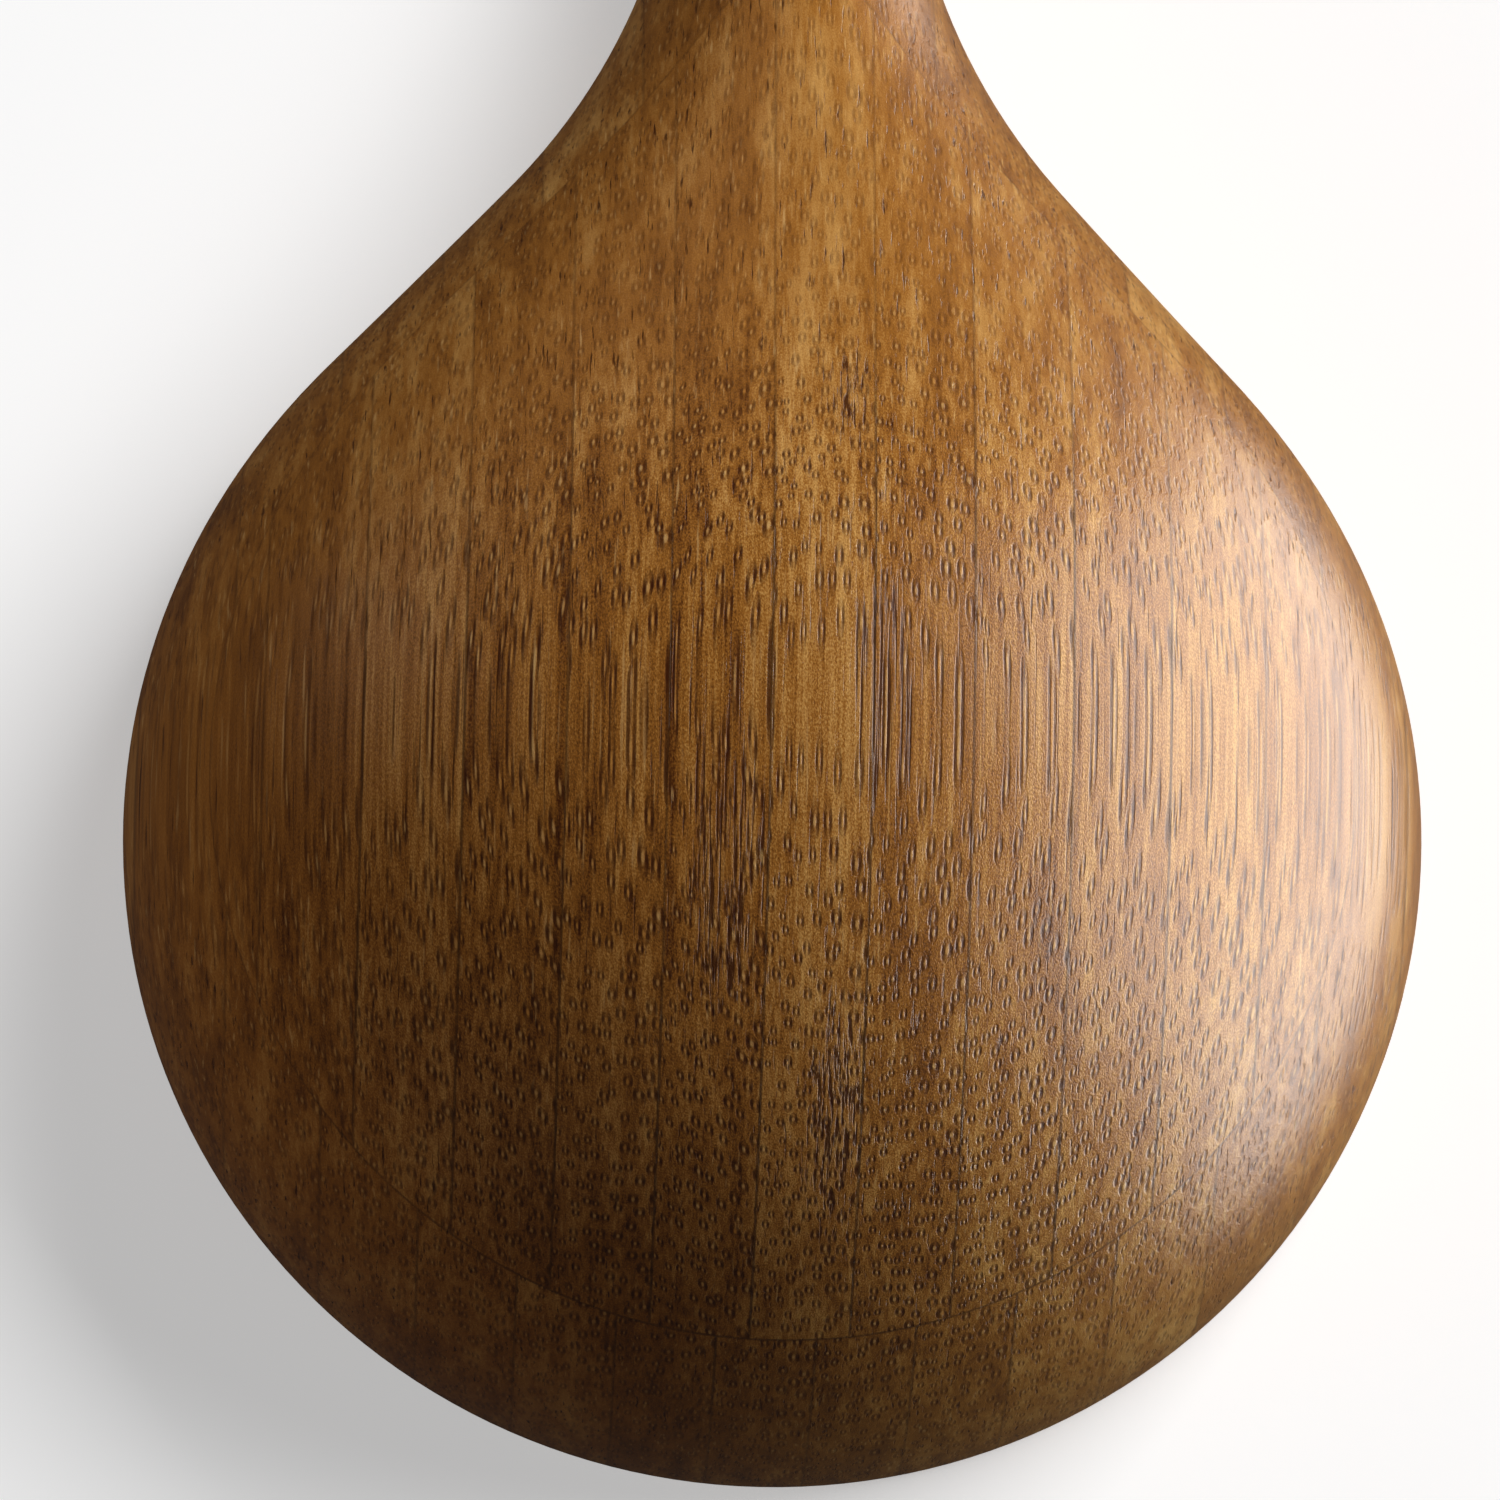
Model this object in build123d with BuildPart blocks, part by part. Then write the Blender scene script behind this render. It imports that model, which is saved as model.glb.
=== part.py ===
from build123d import *
from math import cos, radians, sin, sqrt, tan
import os

# Water dipper carved from a block of glued bamboo strips, lying mouth down as it is put away.
# The origin is halfway along it, in the plane of the rim and of the handle's flat face. +Z goes
# up to the back of the bowl, +Y to the handle's end and X across the strips, from left to right.
# Sizes are millimetres and degrees.

# Bowl
bowl_radius = 35.0       # outside, seen from above and over the back
bowl_wall = 5.0
rim_bevel = 1.2          # on both edges of the rim
rim_upright = 1.0        # straight wall over the rim's bevel, before the dome begins

# Shoulders, where the bowl narrows to the neck, seen from above
shoulder_angle = 43.5    # between the shoulder line and the handle
neck_radius = 36.0       # hollow curve from the shoulder line to the handle

# Ramp along the back, from the bowl down to the handle, seen from the side
ramp_angle = 25.0        # between the ramp and the handle
ramp_radius = 50.0       # hollow curve from the ramp to the handle

# Handle
handle_width = 12.0
handle_depth = 13.0
handle_bevel = 3.0       # on the two edges of its flat face; its back is half round
handle_end_radius = 9.0  # its end is bowed, seen from above
overall_length = 390.0

# Lamination: a rim board and a belly board, glued face to face, each a row of strips
strip_share = 0.0743     # thickness of a strip, as a share of the bowl's width
rim_board_share = 0.54   # depth of the rim board, as a share of the bowl's depth
rim_glue_share = 0.43    # of the middle strip, the share that lies right of the middle
belly_glue_share = 0.76
rim_strips = 15
belly_strips = 12
hollow_strips = 9        # strips of the rim board that the hollow cuts in two

neck_sections = 18
cutting_margin = 1.0     # cutting slabs reach past the block by this much

# Shoulder: an arc of the bowl, a straight line that touches it, and the hollow neck curve
shoulder_start = bowl_radius * sin(radians(shoulder_angle))
neck_centre_x = handle_width / 2 + neck_radius
neck_end = (
    bowl_radius + neck_radius - neck_centre_x * cos(radians(shoulder_angle))
) / sin(radians(shoulder_angle))
neck_start = neck_end - neck_radius * sin(radians(shoulder_angle))

# Ramp: an arc of the bowl, a straight line that touches it, and the hollow curve to the handle
dome_base = rim_bevel + rim_upright
bowl_depth = dome_base + bowl_radius
ramp_start = bowl_radius * sin(radians(ramp_angle))
ramp_top = dome_base + bowl_radius * cos(radians(ramp_angle))
ramp_foot = handle_depth + ramp_radius * (1 - cos(radians(ramp_angle)))
ramp_bend = ramp_start + (ramp_top - ramp_foot) / tan(radians(ramp_angle))
ramp_end = ramp_bend + ramp_radius * sin(radians(ramp_angle))

handle_start = max(neck_end, ramp_end)
handle_length = overall_length - bowl_radius - handle_start
handle_upright = handle_depth - handle_bevel - handle_width / 2

hollow_radius = bowl_radius - bowl_wall
bowl_y = bowl_radius - overall_length / 2
bowl_axis = Axis((0, bowl_y, 0), (0, 0, 1))
strip_thickness = 2 * bowl_radius * strip_share
rim_board_depth = bowl_depth * rim_board_share


def half_width(reach):
    """Half the width of the dipper at a reach from the middle of the bowl to the handle."""
    if reach < shoulder_start:
        return sqrt(bowl_radius**2 - reach**2)
    if reach < neck_start:
        return (bowl_radius - reach * sin(radians(shoulder_angle))) / cos(radians(shoulder_angle))
    if reach < neck_end:
        return neck_centre_x - sqrt(neck_radius**2 - (neck_end - reach) ** 2)
    return handle_width / 2


def depth(reach):
    """Height of the back over the mouth at a reach from the middle of the bowl to the handle."""
    if reach < ramp_start:
        return dome_base + sqrt(bowl_radius**2 - reach**2)
    if reach < ramp_bend:
        return ramp_top - (reach - ramp_start) * tan(radians(ramp_angle))
    if reach < ramp_end:
        return handle_depth + ramp_radius - sqrt(ramp_radius**2 - (ramp_end - reach) ** 2)
    return handle_depth


def along_neck(reach, at_bowl, at_handle):
    """A size that changes smoothly along the neck, from the bowl's to the handle's."""
    share = min(max((reach - shoulder_start) / (handle_start - shoulder_start), 0), 1)
    return at_bowl + (at_handle - at_bowl) * (1 - cos(radians(180 * share))) / 2


def section(reach):
    """The cross section: flat below, bevelled edges, upright sides, half an ellipse above."""
    side = half_width(reach)
    bevel = along_neck(reach, rim_bevel, handle_bevel)
    wall_top = bevel + along_neck(reach, rim_upright, handle_upright)
    with BuildSketch(Plane.XZ.offset(-bowl_y - reach)) as profile:
        with BuildLine():
            Polyline((-side, wall_top), (-side, bevel), (bevel - side, 0))
            Line((bevel - side, 0), (side - bevel, 0))
            Polyline((side - bevel, 0), (side, bevel), (side, wall_top))
            EllipticalCenterArc((0, wall_top), side, depth(reach) - wall_top, arc_size=180)
        make_face()
    return profile.sketch


# The carved block, before it is divided into its strips
with BuildPart() as block:
    # Front half of the bowl
    with BuildSketch(Plane.XZ.offset(-bowl_y)):
        with BuildLine():
            Polyline((0, bowl_depth), (0, 0), (bowl_radius - rim_bevel, 0))
            Polyline((bowl_radius - rim_bevel, 0), (bowl_radius, rim_bevel), (bowl_radius, dome_base))
            CenterArc((0, dome_base), bowl_radius, 0, 90)
        make_face()
    revolve(axis=bowl_axis, revolution_arc=-180)

    # Back half of the bowl, with shoulders and neck
    loft([section(handle_start * step / neck_sections) for step in range(neck_sections + 1)])

    # Handle, with its bowed end
    extrude(section(handle_start), amount=-handle_length)
    with BuildSketch(Plane.XY.offset(-cutting_margin)):
        with Locations((0, overall_length / 2 - handle_end_radius)):
            Rectangle(
                handle_width + 2 * cutting_margin,
                handle_end_radius + cutting_margin,
                align=(Align.CENTER, Align.MIN),
            )
            Circle(handle_end_radius, mode=Mode.SUBTRACT)
    extrude(amount=handle_depth + 2 * cutting_margin, mode=Mode.SUBTRACT)

    # Hollow of the bowl, with the bevel of the rim's inner edge
    with BuildSketch(Plane.XZ.offset(-bowl_y)):
        with BuildLine():
            Polyline((0, dome_base + hollow_radius), (0, 0), (hollow_radius + rim_bevel, 0))
            Polyline(
                (hollow_radius + rim_bevel, 0), (hollow_radius, rim_bevel), (hollow_radius, dome_base)
            )
            CenterArc((0, dome_base), hollow_radius, 0, 90)
        make_face()
    revolve(axis=bowl_axis, mode=Mode.SUBTRACT)

front_end = -overall_length / 2 - cutting_margin
back_end = overall_length / 2 + cutting_margin
outside = bowl_radius + cutting_margin
below = -cutting_margin
above = bowl_depth + cutting_margin


def row_of_strips(board, count, glue_share):
    """Name, number and edges of each strip of a board, numbered outwards from the middle one."""
    first = -(count // 2)
    last = first + count - 1
    row = []
    for number in range(first, last + 1):
        place = f"left_{-number}" if number < 0 else f"right_{number}" if number else "middle"
        left = strip_thickness * (glue_share + number - 1) if number > first else -outside
        right = strip_thickness * (glue_share + number) if number < last else outside
        row.append((f"{board}_strip_{place}", number, left, right))
    return row


def cut_strip(name, left, right, front, back, bottom, top):
    """Cut one strip out of the carved block, label it and write it."""
    with BuildPart() as strip:
        add(block.part)
        with Locations((left, front, bottom)):
            Box(
                right - left,
                back - front,
                top - bottom,
                align=(Align.MIN, Align.MIN, Align.MIN),
                mode=Mode.INTERSECT,
            )
    strip.part.label = name
    export_step(strip.part, f"parts/{name}.step")
    print(name, len(strip.part.solids()), round(strip.part.volume, 1))


os.makedirs("parts", exist_ok=True)

# Belly board: every strip is whole
for name, number, left, right in row_of_strips("belly", belly_strips, belly_glue_share):
    cut_strip(name, left, right, front_end, back_end, rim_board_depth, above)

# Rim board: the hollow cuts the middle strips into a tip piece and a piece behind the bowl
for name, number, left, right in row_of_strips("rim", rim_strips, rim_glue_share):
    if abs(number) > hollow_strips // 2:
        cut_strip(name, left, right, front_end, back_end, below, rim_board_depth)
    else:
        in_handle = left < handle_width / 2 and right > -handle_width / 2
        behind = "handle" if in_handle else "shoulder"
        cut_strip(f"{name}_tip", left, right, front_end, bowl_y, below, rim_board_depth)
        cut_strip(f"{name}_{behind}", left, right, bowl_y, back_end, below, rim_board_depth)
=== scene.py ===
from math import cos, e, pi, radians, sin, sqrt, tan

import bmesh
import bpy
from mathutils import Matrix, Vector


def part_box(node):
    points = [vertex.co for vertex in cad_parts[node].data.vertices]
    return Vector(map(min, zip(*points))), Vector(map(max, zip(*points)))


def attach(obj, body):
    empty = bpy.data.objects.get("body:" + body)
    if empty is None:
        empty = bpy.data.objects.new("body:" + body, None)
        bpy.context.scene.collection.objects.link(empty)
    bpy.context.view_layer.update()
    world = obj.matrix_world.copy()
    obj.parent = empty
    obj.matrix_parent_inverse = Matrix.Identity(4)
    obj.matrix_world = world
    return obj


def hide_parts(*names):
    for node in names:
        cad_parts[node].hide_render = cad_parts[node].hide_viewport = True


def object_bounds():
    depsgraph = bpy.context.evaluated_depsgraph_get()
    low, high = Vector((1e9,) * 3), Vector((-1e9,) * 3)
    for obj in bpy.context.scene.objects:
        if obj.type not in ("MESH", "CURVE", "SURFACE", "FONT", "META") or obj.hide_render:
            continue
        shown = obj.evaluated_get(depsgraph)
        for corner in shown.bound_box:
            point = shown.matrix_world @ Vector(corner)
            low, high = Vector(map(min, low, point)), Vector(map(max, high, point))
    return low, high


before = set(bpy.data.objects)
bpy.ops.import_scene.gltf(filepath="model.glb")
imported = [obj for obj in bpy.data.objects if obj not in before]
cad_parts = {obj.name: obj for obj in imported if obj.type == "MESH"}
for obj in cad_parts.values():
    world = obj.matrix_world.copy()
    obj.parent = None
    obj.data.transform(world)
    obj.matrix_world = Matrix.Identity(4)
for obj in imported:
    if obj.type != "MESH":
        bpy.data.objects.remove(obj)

cad_low, cad_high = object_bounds()

# Carved block: the dipper's whole surface, carved from two boards of bamboo strips glued face to
# face: a round bowl, sloping shoulders and a long handle. It lies mouth down, and every strip below
# is sawn out of it.
mm = 0.001
bowl_radius = cad_high.x
bowl_wall = 5.0 * mm
rim_round = 1.2 * mm
rim_upright = 1.0 * mm
shoulder_angle = radians(43.5)
neck_radius = 36.0 * mm
ramp_angle = radians(25.0)
ramp_radius = 50.0 * mm
handle_width = 12.0 * mm
handle_depth = 13.0 * mm
handle_round = 3.0 * mm
handle_end_radius = 9.0 * mm
handle_end_round = 1.2 * mm

bowl_y = cad_low.y + bowl_radius
hollow_radius = bowl_radius - bowl_wall
dome_base = rim_round + rim_upright
handle_upright = handle_depth - handle_round - handle_width / 2

shoulder_start = bowl_radius * sin(shoulder_angle)
neck_centre_x = handle_width / 2 + neck_radius
neck_end = (bowl_radius + neck_radius - neck_centre_x * cos(shoulder_angle)) / sin(shoulder_angle)
neck_start = neck_end - neck_radius * sin(shoulder_angle)

ramp_start = bowl_radius * sin(ramp_angle)
ramp_top = dome_base + bowl_radius * cos(ramp_angle)
ramp_foot = handle_depth + ramp_radius * (1 - cos(ramp_angle))
ramp_bend = ramp_start + (ramp_top - ramp_foot) / tan(ramp_angle)
ramp_end = ramp_bend + ramp_radius * sin(ramp_angle)

handle_start = max(neck_end, ramp_end)
handle_reach = cad_high.y - bowl_y

edge_steps = 6     # over a rounded edge
back_steps = 96    # over the back, from side to side
turn_steps = 96    # round half the bowl
neck_steps = 72
handle_steps = 36
cap_steps = 8      # across the handle's end
weld_distance = 0.002 * mm


def half_width(reach):
    """Half the dipper's width at a reach from the middle of the bowl to the handle."""
    if reach < shoulder_start:
        return sqrt(bowl_radius**2 - reach**2)
    if reach < neck_start:
        return (bowl_radius - reach * sin(shoulder_angle)) / cos(shoulder_angle)
    if reach < neck_end:
        return neck_centre_x - sqrt(neck_radius**2 - (neck_end - reach) ** 2)
    return handle_width / 2


def back_height(reach):
    """Height of the back over the mouth at a reach from the middle of the bowl."""
    if reach < ramp_start:
        return dome_base + sqrt(bowl_radius**2 - reach**2)
    if reach < ramp_bend:
        return ramp_top - (reach - ramp_start) * tan(ramp_angle)
    if reach < ramp_end:
        return handle_depth + ramp_radius - sqrt(ramp_radius**2 - (ramp_end - reach) ** 2)
    return handle_depth


def along_neck(reach, at_bowl, at_handle):
    """A size that changes smoothly along the neck."""
    share = min(max((reach - shoulder_start) / (handle_start - shoulder_start), 0), 1)
    return at_bowl + (at_handle - at_bowl) * (1 - cos(pi * share)) / 2


def cross_section(reach):
    """Points (x, z) of a cross section, from its lower left edge over the back to the right one."""
    side = half_width(reach)
    edge = along_neck(reach, rim_round, handle_round)
    wall_top = edge + along_neck(reach, rim_upright, handle_upright)
    rise = back_height(reach) - wall_top
    corner = [pi / 2 * step / edge_steps for step in range(edge_steps + 1)]
    arch = [pi * step / back_steps for step in range(back_steps + 1)]
    left = [(edge - side - edge * sin(turn), edge - edge * cos(turn)) for turn in corner]
    over = [(-side * cos(turn), wall_top + rise * sin(turn)) for turn in arch]
    right = [(-x, z) for x, z in reversed(left)]
    return left + over + right


def bow(x):
    """How far the handle's bowed end lies behind its foremost point."""
    return handle_end_radius - sqrt(handle_end_radius**2 - x**2)


def add_skin(block, rows):
    """Add a skin of four-sided faces over rows of points."""
    verts = [[block.verts.new(point) for point in row] for row in rows]
    for row, next_row in zip(verts, verts[1:]):
        for corner in range(len(row) - 1):
            block.faces.new(
                (row[corner], row[corner + 1], next_row[corner + 1], next_row[corner])
            )


block = bmesh.new()

# Front half of the bowl, turned about the bowl's upright axis
profile = cross_section(0)
profile = profile[: len(profile) // 2 + 1]
turns = [pi * step / turn_steps for step in range(turn_steps + 1)]
add_skin(block, [[(x * cos(t), bowl_y + x * sin(t), z) for x, z in profile] for t in turns])

# Back half of the bowl, shoulders, neck and handle
reaches = [handle_start * step / neck_steps for step in range(neck_steps)]
plain_reach = handle_reach - handle_end_radius - handle_start
reaches += [handle_start + plain_reach * step / handle_steps for step in range(handle_steps + 1)]
add_skin(block, [[(x, bowl_y + reach, z) for x, z in cross_section(reach)] for reach in reaches])

# Handle's end: a bowed end face with a small rounding all round
outline = cross_section(handle_reach)
across = [1 - 2 * step / cap_steps for step in range(1, cap_steps)]
ring = outline + [(outline[-1][0] * share, 0) for share in across] + outline[:1]
end_rows = [[(x, bowl_y + reaches[-1], z) for x, z in ring]]
for step in range(edge_steps + 1):
    turn = pi / 2 * step / edge_steps
    inset = handle_end_round * (1 - cos(turn))
    narrower = 1 - 2 * inset / handle_width
    lower = 1 - 2 * inset / handle_depth
    middle = handle_depth / 2
    reach = bowl_y + handle_reach - handle_end_round * (1 - sin(turn))
    end_rows.append(
        [(x * narrower, reach - bow(x * narrower), middle + (z - middle) * lower) for x, z in ring]
    )
add_skin(block, end_rows)
last_row = end_rows[-1][: len(outline) // 2 + 1]
shares = [1] + across + [-1]
add_skin(
    block,
    [[(x * s, bowl_y + handle_reach - bow(x * s), z) for s in shares] for x, _, z in last_row],
)

# Hollow of the bowl, with the rounding of the rim's inner edge
corner = [pi / 2 * step / edge_steps for step in range(edge_steps + 1)]
arch = [pi / 2 * step / (back_steps // 2) for step in range(back_steps // 2 + 1)]
inner = [
    (hollow_radius + rim_round - rim_round * sin(turn), rim_round - rim_round * cos(turn))
    for turn in corner
]
inner += [(hollow_radius * cos(turn), dome_base + hollow_radius * sin(turn)) for turn in arch]
turns = [pi * step / turn_steps for step in range(2 * turn_steps + 1)]
add_skin(block, [[(x * cos(t), bowl_y + x * sin(t), z) for x, z in inner] for t in turns])

# Rim and flat face of the handle, between the edges that are still open
bmesh.ops.remove_doubles(block, verts=block.verts, dist=weld_distance)
open_edges = [edge for edge in block.edges if edge.is_boundary]
bmesh.ops.triangle_fill(block, edges=open_edges, use_beauty=True)
bmesh.ops.recalc_face_normals(block, faces=block.faces)
block_mesh = bpy.data.meshes.new("carved_block")
block.to_mesh(block_mesh)
block.free()

# Belly board: a row of bamboo strips on edge, glued side by side. It makes the back of the bowl
# and runs out in the neck. Each strip is sawn from the block's shape by its own slab.
strip_thickness = 5.2 * mm
reach_past = 2.0 * mm       # of the sawing slabs, past the outside of the block
sharp_edge = radians(30)


def strip_cutter():
    """Geometry Nodes tree that keeps the part of the block inside one strip's slab."""
    tree = bpy.data.node_groups.new("strip_cutter", "GeometryNodeTree")
    face = tree.interface
    face.new_socket("Block", in_out="INPUT", socket_type="NodeSocketGeometry")
    for name in ("Lowest Corner", "Highest Corner"):
        face.new_socket(name, in_out="INPUT", socket_type="NodeSocketVector")
    face.new_socket("Finish", in_out="INPUT", socket_type="NodeSocketMaterial")
    face.new_socket("Strip", in_out="OUTPUT", socket_type="NodeSocketGeometry")
    given = tree.nodes.new("NodeGroupInput").outputs
    result = tree.nodes.new("NodeGroupOutput")

    size = tree.nodes.new("ShaderNodeVectorMath")
    size.operation = "SUBTRACT"
    tree.links.new(given["Highest Corner"], size.inputs[0])
    tree.links.new(given["Lowest Corner"], size.inputs[1])
    middle = tree.nodes.new("ShaderNodeMix")
    middle.data_type = "VECTOR"
    middle.inputs["Factor"].default_value = 0.5
    tree.links.new(given["Lowest Corner"], middle.inputs[4])
    tree.links.new(given["Highest Corner"], middle.inputs[5])

    slab = tree.nodes.new("GeometryNodeMeshCube")
    tree.links.new(size.outputs[0], slab.inputs["Size"])
    place = tree.nodes.new("GeometryNodeTransform")
    tree.links.new(slab.outputs["Mesh"], place.inputs["Geometry"])
    tree.links.new(middle.outputs[1], place.inputs["Translation"])

    saw = tree.nodes.new("GeometryNodeMeshBoolean")
    saw.operation = "INTERSECT"
    saw.solver = "EXACT"
    tree.links.new(given["Block"], saw.inputs["Mesh 2"])
    tree.links.new(place.outputs["Geometry"], saw.inputs["Mesh 2"])

    whole = tree.nodes.new("GeometryNodeRealizeInstances")
    tree.links.new(saw.outputs["Mesh"], whole.inputs["Geometry"])
    finish = tree.nodes.new("GeometryNodeSetMaterial")
    tree.links.new(whole.outputs["Geometry"], finish.inputs["Geometry"])
    tree.links.new(given["Finish"], finish.inputs["Material"])
    tree.links.new(finish.outputs["Geometry"], result.inputs["Strip"])
    return tree


cutter = strip_cutter()
dipper = bpy.data.collections.new("dipper")
bpy.context.scene.collection.children.link(dipper)


def saw_strip(node, lowest, highest, finish):
    """Saw one strip out of the block, in place of its CAD node."""
    strip = bpy.data.objects.new("carved_" + node, block_mesh)
    dipper.objects.link(strip)
    modifier = strip.modifiers.new("saw", "NODES")
    modifier.node_group = cutter
    wanted = {"Lowest Corner": lowest, "Highest Corner": highest, "Finish": finish}
    for item in cutter.interface.items_tree:
        if item.name in wanted:
            modifier[item.identifier] = wanted[item.name]
    sawn = strip.evaluated_get(bpy.context.evaluated_depsgraph_get())
    mesh = bpy.data.meshes.new_from_object(sawn)
    strip.modifiers.clear()
    strip.data = mesh
    mesh.shade_smooth()
    mesh.set_sharp_from_angle(angle=sharp_edge)
    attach(strip, "root")
    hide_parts(node)


class Pattern:
    """Builds a finish's nodes one step at a time."""

    def __init__(self, name):
        self.material = bpy.data.materials.new(name)
        self.material.use_nodes = True
        self.tree = self.material.node_tree
        self.shader = self.tree.nodes["Principled BSDF"]

    def node(self, kind, *values, **settings):
        """Add a node and fill its inputs in order, with numbers or with other nodes' outputs."""
        made = self.tree.nodes.new(kind)
        for setting, value in settings.items():
            setattr(made, setting, value)
        for socket, value in zip(made.inputs, values):
            if isinstance(value, bpy.types.NodeSocket):
                self.tree.links.new(value, socket)
            elif value is not None:
                socket.default_value = value
        return made

    def calc(self, operation, *values):
        """One step of arithmetic."""
        return self.node("ShaderNodeMath", *values, operation=operation).outputs[0]

    def add(self, *values):
        total = values[0]
        for value in values[1:]:
            total = self.calc("ADD", total, value)
        return total

    def times(self, *values):
        product = values[0]
        for value in values[1:]:
            product = self.calc("MULTIPLY", product, value)
        return product

    def rise(self, value, start, end):
        """0 up to start, 1 from end on, and a smooth rise between them."""
        made = self.node("ShaderNodeMapRange", value, start, end, interpolation_type="SMOOTHSTEP")
        return made.outputs[0]

    def fall(self, value, start, end):
        """1 up to start, 0 from end on, and a smooth fall between them."""
        return self.calc("SUBTRACT", 1.0, self.rise(value, start, end))

    def vector(self, x, y, z):
        return self.node("ShaderNodeCombineXYZ", x, y, z).outputs[0]

    def split(self, vector):
        return self.node("ShaderNodeSeparateXYZ", vector).outputs

    def noise(self, place, per_mm, detail=2.0):
        """Noise from -1 to 1, with so many changes per millimetre along X, Y and Z."""
        stretched = self.node("ShaderNodeVectorMath", place, per_mm, operation="MULTIPLY")
        made = self.node("ShaderNodeTexNoise", stretched.outputs[0], None, 1.0, detail)
        spread = self.node(
            "ShaderNodeMapRange", made.outputs[0], 0.25, 0.75, -1.0, 1.0, clamp=False
        )
        return spread.outputs[0]

    def blend(self, share, colour, other):
        """A colour that turns into another one by a share."""
        made = self.node("ShaderNodeMix", data_type="RGBA")
        sockets = (made.inputs[0], made.inputs[6], made.inputs[7])
        for socket, value in zip(sockets, (share, colour, other)):
            if isinstance(value, bpy.types.NodeSocket):
                self.tree.links.new(value, socket)
            else:
                socket.default_value = value
        return made.outputs[2]


# Grain of the bamboo in millimetres: fibre bundles with dark sides and pale cores, which lie in
# rows and show best on the crown of the bowl
bundles_across = 5.8     # in the thickness of a strip
crowding = 0.25          # more bundles at a strip's left face and fewer at its right one
bundle_row = 0.36        # from row to row at the top of the bowl
row_growth = 0.03        # of that spacing, for each millimetre further down
row_stagger = 0.5        # each row is set off by half a bundle
row_tilt = 7.0           # rows that the lattice may climb across a strip
row_shift = 40.0         # rows that it may be moved from strip to strip
bundle_scatter = 0.62
bundle_half_width = 0.175
bundle_half_height = 0.31
sideways_wander = 0.1
upward_wander = 0.5
strip_apart = 13.0       # the strips' fibres come from places this far apart
fibre_shift = 90.0       # and are moved along by up to this much
seam_width = 0.11
crown = Vector((2 * mm, bowl_y - 10 * mm, 33 * mm))
crown_reach = 38.0
worn_fade = 0.6          # of the grain's contrast is lost beyond that reach
relief_depth = 0.06 * mm
satin_roughness = 0.31

# Colours of the bamboo, from the dark sides of the bundles to the palest cores
lobe_brown = (0.045, 0.007, 0.0005, 1)
fibre_brown = (0.05, 0.009, 0.001, 1)
glue_brown = (0.05, 0.016, 0.003, 1)
dark_brown = (0.09, 0.021, 0.0015, 1)
brown = (0.35, 0.129, 0.017, 1)
pale_brown = (0.66, 0.34, 0.095, 1)
core_amber = (0.64, 0.26, 0.04, 1)
fibre_straw = (0.72, 0.42, 0.16, 1)
core_straw = (0.75, 0.46, 0.18, 1)


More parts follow.
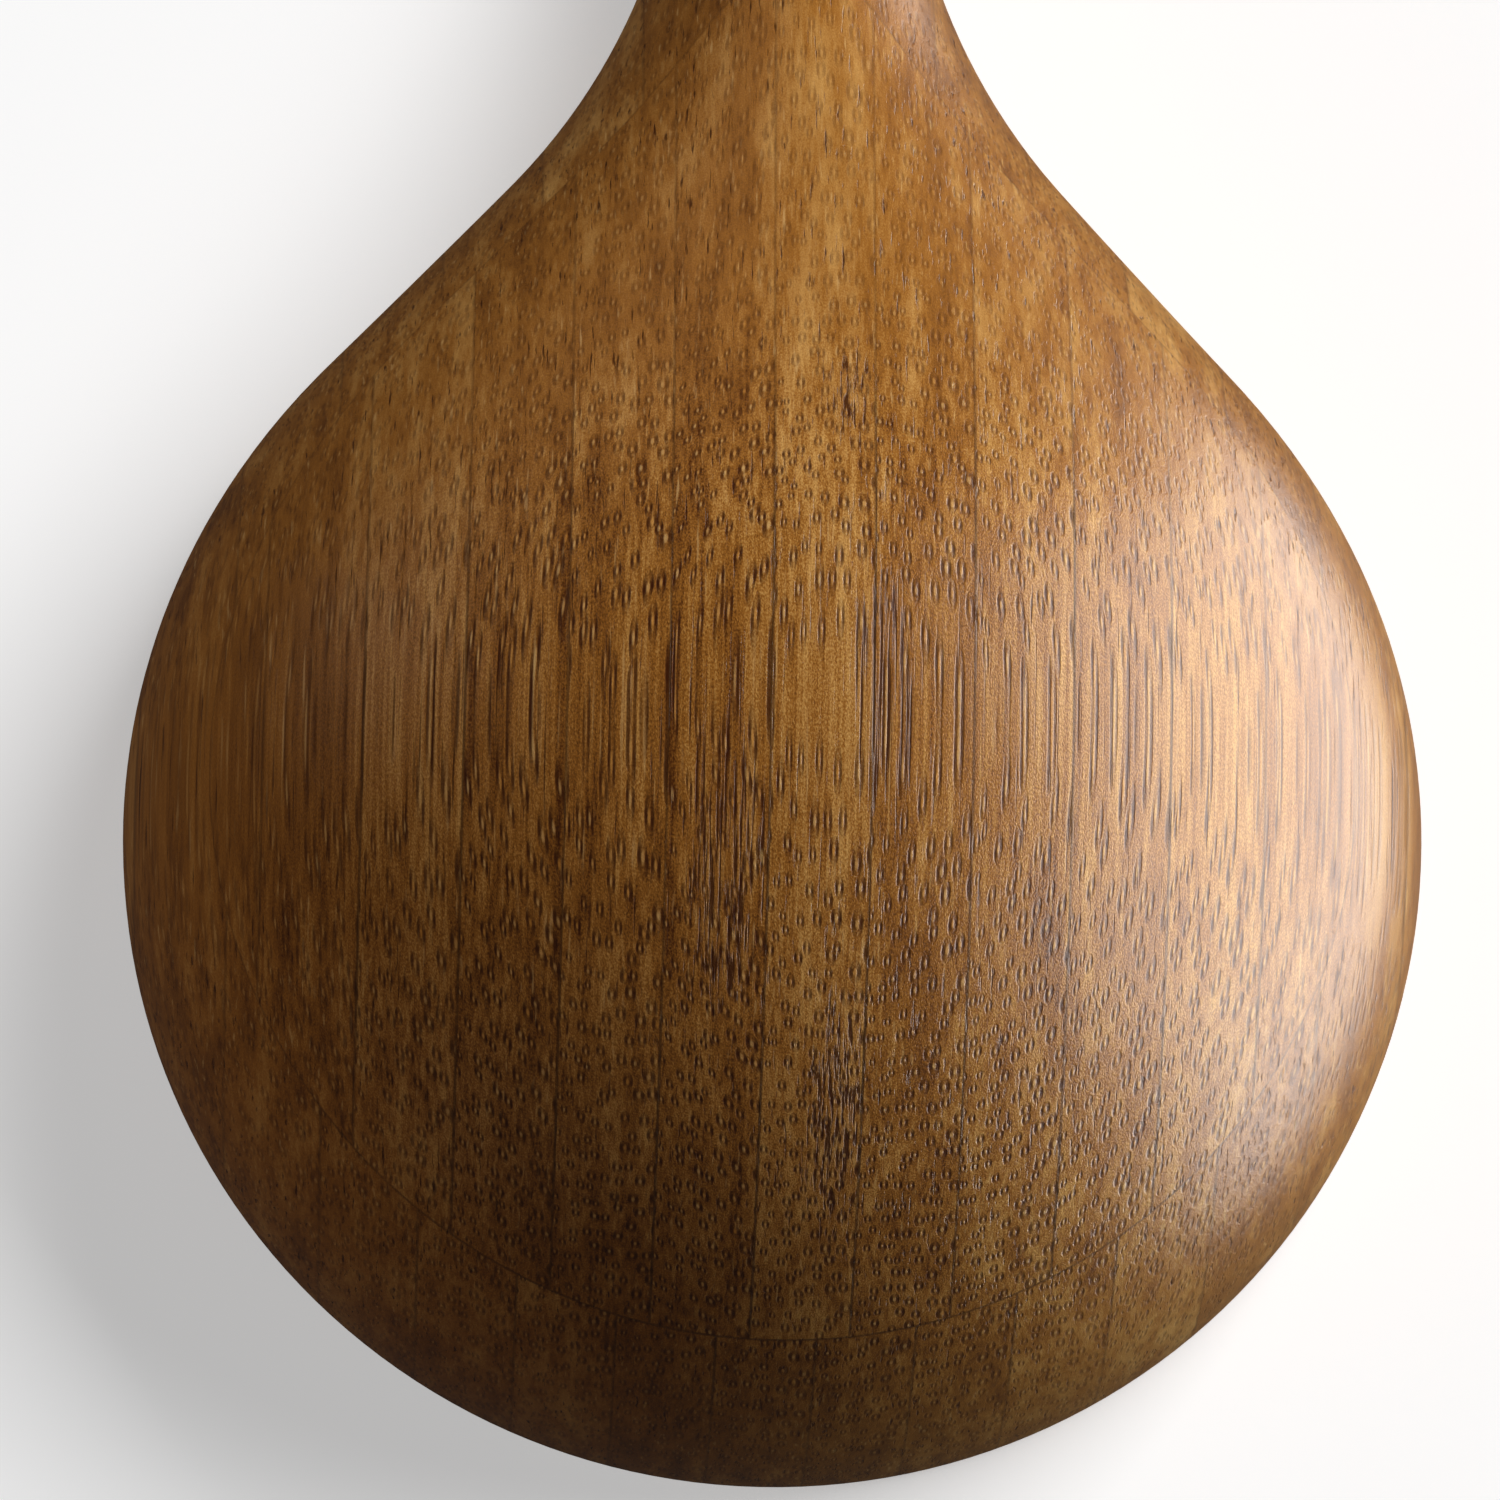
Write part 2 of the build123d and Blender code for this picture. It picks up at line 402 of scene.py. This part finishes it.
def bamboo(name, glue_share, seed, marks=()):
    """Oiled brown bamboo: a solid grain of fibre bundles along the strips, cut by the surface.

    The glue share places the strips' edges, and the marks are old sap marks.
    """
    grain = Pattern(name)
    coordinates = grain.node("ShaderNodeTexCoord").outputs["Object"]
    scaled = grain.node("ShaderNodeVectorMath", coordinates, operation="SCALE")
    scaled.inputs["Scale"].default_value = 1 / mm
    x, y, z = grain.split(scaled.outputs[0])
    thickness = strip_thickness / mm

    # Strip: its number, the share of its thickness from its left edge, and its own chance values
    row = grain.calc("SUBTRACT", grain.calc("DIVIDE", x, thickness), glue_share)
    number = grain.calc("FLOOR", row)
    share = grain.calc("SUBTRACT", row, number)
    chance = grain.node(
        "ShaderNodeTexWhiteNoise", None, grain.add(number, seed), noise_dimensions="1D"
    )
    tone = grain.calc("SUBTRACT", chance.outputs["Value"], 0.5)
    shift, lean, _ = grain.split(chance.outputs["Color"])
    place = grain.vector(
        grain.add(x, grain.times(number, strip_apart)),
        grain.add(y, grain.times(shift, fibre_shift)),
        z,
    )

    # Bundles: a scattered lattice across the strip, drawn out along the fibres
    drift = grain.times(grain.noise(place, (0.05, 0.03, 0.05)), sideways_wander)
    inward = grain.add(share, grain.calc("DIVIDE", drift, thickness))
    packed = grain.times(
        inward, grain.calc("SUBTRACT", 1 + crowding, grain.times(inward, crowding))
    )
    per_mm = grain.times(
        grain.calc("SUBTRACT", 1 + crowding, grain.times(inward, 2 * crowding)),
        bundles_across / thickness,
    )
    lift = grain.times(grain.noise(place, (0.06, 0.03, 0.04)), upward_wander)
    tilt = grain.times(grain.calc("SUBTRACT", lean, 0.5), share, row_tilt)
    sunk = grain.calc("SUBTRACT", grain.add(cad_high.z / mm, lift), z)
    rows = grain.calc("LOGARITHM", grain.add(1.0, grain.times(sunk, row_growth / bundle_row)), e)
    down = grain.add(
        grain.calc("DIVIDE", rows, -row_growth), grain.times(shift, row_shift), tilt
    )
    across = grain.add(grain.times(packed, bundles_across), grain.times(down, row_stagger))
    cells = grain.node(
        "ShaderNodeTexVoronoi", grain.vector(across, down, 0.0), voronoi_dimensions="2D"
    )
    cells.inputs["Scale"].default_value = 1.0
    cells.inputs["Randomness"].default_value = bundle_scatter
    centre_across, centre_down, _ = grain.split(cells.outputs["Position"])
    size, darkness, hue = grain.split(cells.outputs["Color"])
    off_down = grain.calc("SUBTRACT", down, centre_down)
    off_across = grain.calc(
        "SUBTRACT",
        grain.calc("SUBTRACT", across, centre_across),
        grain.times(off_down, row_stagger),
    )
    growth = grain.calc("DIVIDE", grain.add(0.75, grain.times(size, 0.4)), per_mm)
    beside = grain.calc("DIVIDE", off_across, grain.times(per_mm, growth, bundle_half_width))
    beyond = grain.calc("DIVIDE", off_down, grain.times(growth, bundle_half_height))
    ring = grain.calc(
        "SQRT", grain.add(grain.times(beside, beside), grain.times(beyond, beyond), 0.0001)
    )
    sideness = grain.calc("DIVIDE", grain.calc("ABSOLUTE", beside), ring)
    off_ring = grain.calc("ABSOLUTE", grain.calc("SUBTRACT", ring, 1.0))
    lobes = grain.times(
        grain.fall(off_ring, 0.25, 0.75), grain.add(0.2, grain.times(sideness, sideness, 0.8))
    )
    core = grain.fall(ring, 0.1, 0.65)

    # The grain fades away from the crown, and a little from place to place
    clear = grain.rise(grain.noise(place, (0.12, 0.05, 0.12)), -1.2, 0.6)
    from_crown = grain.node(
        "ShaderNodeVectorMath", scaled.outputs[0], crown / mm, operation="DISTANCE"
    ).outputs["Value"]
    worn = grain.rise(from_crown, crown_reach / 2, crown_reach)
    calm = grain.calc("SUBTRACT", 1.0, grain.times(worn, worn_fade))
    strength = grain.times(
        grain.add(0.85, grain.times(darkness, 0.15)), grain.add(0.8, grain.times(clear, 0.2)), calm
    )

    # Ground between the bundles: fibres, broad bands, patches, sanding specks and the strip's tone
    streaks = grain.times(grain.noise(place, (5.0, 0.05, 1.6), 3.0), calm)
    bands = grain.noise(place, (0.9, 0.012, 0.3), 2.0)
    patches = grain.noise(place, (0.12, 0.03, 0.06), 2.0)
    specks = grain.times(grain.noise(place, (13.0, 7.0, 13.0), 1.0), calm)
    depth = grain.add(
        0.5,
        grain.times(streaks, 0.24),
        grain.times(bands, 0.2),
        grain.times(patches, 0.08),
        grain.times(specks, 0.25),
        grain.times(tone, 0.22),
    )
    ramp = grain.node("ShaderNodeValToRGB", depth)
    ramp.color_ramp.elements[0].position = 0.05
    ramp.color_ramp.elements[0].color = dark_brown
    ramp.color_ramp.elements[1].position = 0.95
    ramp.color_ramp.elements[1].color = pale_brown
    middle = ramp.color_ramp.elements.new(0.5)
    middle.color = brown
    colour = ramp.outputs[0]

    # Dark fibres, thickest in the old sap marks, then the bundles' dark lobes and pale cores
    fibres = grain.noise(grain.vector(y, x, z), (0.09, 5.5, 1.2), 3.0)
    sap = 0.0
    for mark_x, mark_y, mark_half_width, mark_half_length in marks:
        off_x = grain.calc("DIVIDE", grain.calc("SUBTRACT", x, mark_x), mark_half_width)
        off_y = grain.calc("DIVIDE", grain.calc("SUBTRACT", y, mark_y), mark_half_length)
        off_mark = grain.add(grain.times(off_x, off_x), grain.times(off_y, off_y))
        sap = grain.calc("MAXIMUM", sap, grain.fall(off_mark, 0.1, 1.0))
    dark_fibres = grain.rise(grain.add(fibres, grain.times(sap, 0.6)), 0.4, 1.0)
    pale_fibres = grain.fall(fibres, -1.0, -0.45)
    colour = grain.blend(grain.times(pale_fibres, 0.5), colour, fibre_straw)
    colour = grain.blend(grain.times(dark_fibres, 0.9), colour, fibre_brown)
    lobes = grain.times(lobes, strength)
    colour = grain.blend(lobes, colour, lobe_brown)
    core_colour = grain.blend(hue, core_amber, core_straw)
    colour = grain.blend(grain.times(core, strength, 0.7), colour, core_colour)

    # Glue lines between the strips and between the boards
    to_seam = grain.calc("MINIMUM", share, grain.calc("SUBTRACT", 1.0, share))
    to_board = grain.calc("ABSOLUTE", grain.calc("SUBTRACT", z, glue_plane / mm))
    to_glue = grain.calc("MINIMUM", grain.times(to_seam, thickness), to_board)
    line = grain.times(
        grain.fall(to_glue, seam_width / 3, seam_width),
        grain.add(0.65, grain.times(bands, 0.3)),
        calm,
    )
    colour = grain.blend(line, colour, glue_brown)
    grain.tree.links.new(colour, grain.shader.inputs["Base Color"])

    # Satin of the oil, with the dark sides of the bundles sunk in
    grain.shader.inputs["Specular IOR Level"].default_value = 1.0
    grain.shader.inputs["Roughness"].default_value = satin_roughness
    relief = grain.calc(
        "SUBTRACT", grain.times(specks, 0.2), grain.calc("MAXIMUM", lobes, dark_fibres)
    )
    bump = grain.node("ShaderNodeBump")
    bump.inputs["Strength"].default_value = 0.5
    bump.inputs["Distance"].default_value = relief_depth
    grain.tree.links.new(relief, bump.inputs["Height"])
    grain.tree.links.new(bump.outputs[0], grain.shader.inputs["Normal"])
    return grain.material


def row_of_strips(board):
    """The board's CAD nodes with the left and right edges of their slabs."""
    nodes = sorted(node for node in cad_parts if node.startswith(board))
    spans = {node: (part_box(node)[0].x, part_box(node)[1].x) for node in nodes}
    first = min(left for left, right in spans.values())
    last = max(right for left, right in spans.values())
    for node, (left, right) in spans.items():
        if left == first:
            left -= reach_past
        if right == last:
            right += reach_past
        yield node, left, right


glue_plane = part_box("belly_strip_middle")[0].z
front = cad_low.y - reach_past
behind = cad_high.y + reach_past
above = cad_high.z + reach_past
below = cad_low.z - reach_past

# Old sap marks on the bowl: across, along, half width and half length, in millimetres
middle_y = bowl_y / mm
sap_marks = (
    (-3.4, middle_y - 8.0, 2.6, 9.0),
    (2.6, middle_y - 20.0, 1.8, 7.5),
    (4.4, middle_y + 1.0, 2.2, 8.0),
    (2.6, middle_y + 17.5, 1.2, 4.0),
)
belly_bamboo = bamboo("belly_bamboo", glue_share=0.76, seed=2938, marks=sap_marks)
for node, left, right in row_of_strips("belly_strip"):
    saw_strip(node, (left, front, glue_plane), (right, behind, above), belly_bamboo)

# Rim board: a second row of strips, glued under the first with its joints staggered. The hollow
# cuts its middle strips into a tip and a part behind the bowl. Three of them make the handle.
rim_bamboo = bamboo("rim_bamboo", glue_share=0.43, seed=40)
for node, left, right in row_of_strips("rim_strip"):
    first = bowl_y if node.endswith(("_shoulder", "_handle")) else front
    last = bowl_y if node.endswith("_tip") else behind
    saw_strip(node, (left, first, below), (right, last, glue_plane), rim_bamboo)

# Studio: a white table in a pale room. A tall panel on the right shows only as a highlight on the
# satin, soft lights from all round shade the wood, and the table has a light of its own.
table_size = 12.0
table_glow = 0.46
room_glow = 0.025
bpy.ops.mesh.primitive_plane_add(size=table_size, location=(0, 0, cad_low.z))
table = bpy.context.object
table_white = bpy.data.materials.new("table_white")
table_white.use_nodes = True
table_shader = table_white.node_tree.nodes["Principled BSDF"]
table_shader.inputs["Base Color"].default_value = (0.85, 0.85, 0.85, 1)
table_shader.inputs["Roughness"].default_value = 0.9
table_shader.inputs["Specular IOR Level"].default_value = 0.0
table_shader.inputs["Emission Color"].default_value = (1, 1, 1, 1)
table_shader.inputs["Emission Strength"].default_value = table_glow
table.data.materials.append(table_white)
table.visible_diffuse = False
table.visible_glossy = False
table_top = bpy.data.collections.new("table_top")
table_top.objects.link(table)

bowl_middle = Vector((0, bowl_y, cad_high.z / 2))


def add_light(
    name, turn, climb, power, colour=(1, 1, 1), width=0.4, height=0.4, distance=0.7, lit=dipper
):
    """A flat soft light for one group of objects, placed by degrees round and over the bowl."""
    lamp = bpy.data.lights.new(name, "AREA")
    lamp.shape = "RECTANGLE"
    lamp.size = width
    lamp.size_y = height
    lamp.energy = power
    lamp.color = colour
    light = bpy.data.objects.new(name, lamp)
    bpy.context.scene.collection.objects.link(light)
    turn, climb = radians(turn), radians(climb)
    towards = Vector((cos(turn) * cos(climb), sin(turn) * cos(climb), sin(climb)))
    light.location = bowl_middle + towards * distance
    light.rotation_euler = towards.to_track_quat("Z", "Y").to_euler()
    light.visible_camera = False
    light.light_linking.receiver_collection = lit
    light.light_linking.blocker_collection = dipper
    return light


side_panel = add_light("side_panel", turn=6, climb=-3, power=14.5, width=1.1, height=1.2)
side_panel.visible_diffuse = False
soft_lights = (
    add_light("key_light", turn=30, climb=36, power=5.7, colour=(0.97, 1, 1)),
    add_light("table_bounce", turn=-10, climb=-10, power=2.6, colour=(0.82, 1, 1)),
    add_light("left_fill", turn=150, climb=14, power=1.2, colour=(1, 0.96, 0.9)),
    add_light("front_fill", turn=225, climb=10, power=0.36, colour=(1, 0.75, 0.4)),
    add_light("back_fill", turn=105, climb=14, power=0.6, colour=(0.85, 1, 1)),
)
for soft_light in soft_lights:
    soft_light.visible_glossy = False
add_light(
    "table_light", turn=36, climb=43, power=320, width=4.6, height=2.6, distance=6.0, lit=table_top
)

room = bpy.data.worlds.new("pale_room")
bpy.context.scene.world = room
room.use_nodes = True
room.node_tree.nodes["Background"].inputs["Color"].default_value = (1, 1, 1, 1)
room.node_tree.nodes["Background"].inputs["Strength"].default_value = room_glow
bpy.context.scene.view_settings.view_transform = "Standard"

# Camera: close over the back of the bowl and a little towards its tip, turned so that the bowl
# fills the frame as it does in the photograph.
camera_distance = 600 * mm
camera_pitch = radians(12.17)
camera_yaw = radians(1.64)
camera_roll = radians(1.148)
image_pixels = 1500
pixels_per_mm = 18.485
bowl_middle_pixel = (771.3, 846.2)
dome_lift = 1.0 * mm
sensor_width = 36.0

back = Vector(
    (-sin(camera_yaw), -sin(camera_pitch) * cos(camera_yaw), cos(camera_pitch) * cos(camera_yaw))
)
along = Vector((0, 1, 0))
up = (along - back * along.dot(back)).normalized()
right = up.cross(back)
tilt_right = right * cos(camera_roll) + up * sin(camera_roll)
tilt_up = up * cos(camera_roll) - right * sin(camera_roll)
shift_right = (bowl_middle_pixel[0] - image_pixels / 2) / pixels_per_mm * mm
shift_up = (image_pixels / 2 - bowl_middle_pixel[1]) / pixels_per_mm * mm
aim = Vector((0, bowl_y, dome_lift)) - tilt_right * shift_right - tilt_up * shift_up

lens = bpy.data.cameras.new("camera")
lens.sensor_width = sensor_width
lens.lens = sensor_width * pixels_per_mm * camera_distance / mm / image_pixels
camera = bpy.data.objects.new("camera", lens)
bpy.context.scene.collection.objects.link(camera)
turned = Matrix((tilt_right, tilt_up, back)).transposed()
camera.matrix_world = Matrix.Translation(aim + back * camera_distance) @ turned.to_4x4()
bpy.context.scene.camera = camera
